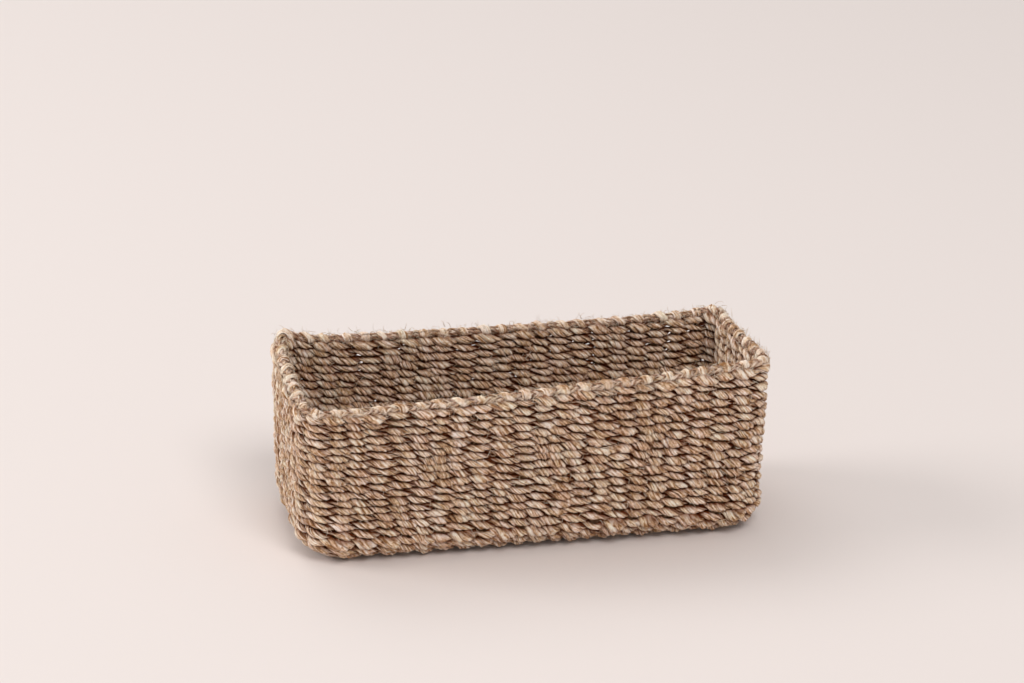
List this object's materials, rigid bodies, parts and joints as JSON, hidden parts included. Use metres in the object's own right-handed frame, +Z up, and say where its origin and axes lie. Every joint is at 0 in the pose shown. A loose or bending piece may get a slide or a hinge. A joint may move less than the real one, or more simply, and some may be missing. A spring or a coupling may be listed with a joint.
{
  "type": "seagrass storage basket",
  "caption": "Small rectangular open-top basket of twined seagrass cord over flat stakes, with a folded border, for holding bottles and toiletries on a shelf.",
  "frame": {"origin": "middle of the underside, on the surface that the basket stands on", "axes": "+Z up, +X along the length to the right, +Y from the front wall to the back wall"},
  "size_m": [0.185, 0.072, 0.07],
  "materials": {
    "cord": "natural twisted seagrass cord, dry and matt with a faint sheen on the fibres",
    "stake": "flat seagrass ribbon, dry and matt",
    "border": "folded seagrass, paler and a little glossier than the cord"
  },
  "bodies": {
    "root": {"base_course_01": "cord", "base_course_02": "cord", "base_course_03": "cord", "base_course_04": "cord", "base_course_05": "cord", "base_course_06": "cord", "corner_stake_back_left": "stake", "corner_stake_back_right": "stake", "corner_stake_front_left": "stake", "corner_stake_front_right": "stake", "cross_stake_01": "stake", "cross_stake_02": "stake", "cross_stake_03": "stake", "cross_stake_04": "stake", "cross_stake_05": "stake", "cross_stake_06": "stake", "cross_stake_07": "stake", "cross_stake_08": "stake", "cross_stake_09": "stake", "cross_stake_10": "stake", "cross_stake_11": "stake", "cross_stake_12": "stake", "cross_stake_13": "stake", "cross_stake_14": "stake", "cross_stake_15": "stake", "cross_stake_16": "stake", "cross_stake_17": "stake", "cross_stake_18": "stake", "cross_stake_19": "stake", "cross_stake_20": "stake", "cross_stake_21": "stake", "edge_course_01": "cord", "edge_course_02": "cord", "edge_course_03": "cord", "edge_course_04": "cord", "edge_course_05": "cord", "edge_course_06": "cord", "folded_border": "border", "long_stake_01": "stake", "long_stake_02": "stake", "long_stake_03": "stake", "long_stake_04": "stake", "long_stake_05": "stake", "long_stake_06": "stake", "long_stake_07": "stake", "wall_course_01": "cord", "wall_course_02": "cord", "wall_course_03": "cord", "wall_course_04": "cord", "wall_course_05": "cord", "wall_course_06": "cord", "wall_course_07": "cord", "wall_course_08": "cord", "wall_course_09": "cord", "wall_course_10": "cord", "wall_course_11": "cord", "wall_course_12": "cord", "wall_course_13": "cord", "wall_course_14": "cord", "wall_course_15": "cord"}
  },
  "joints": []
}
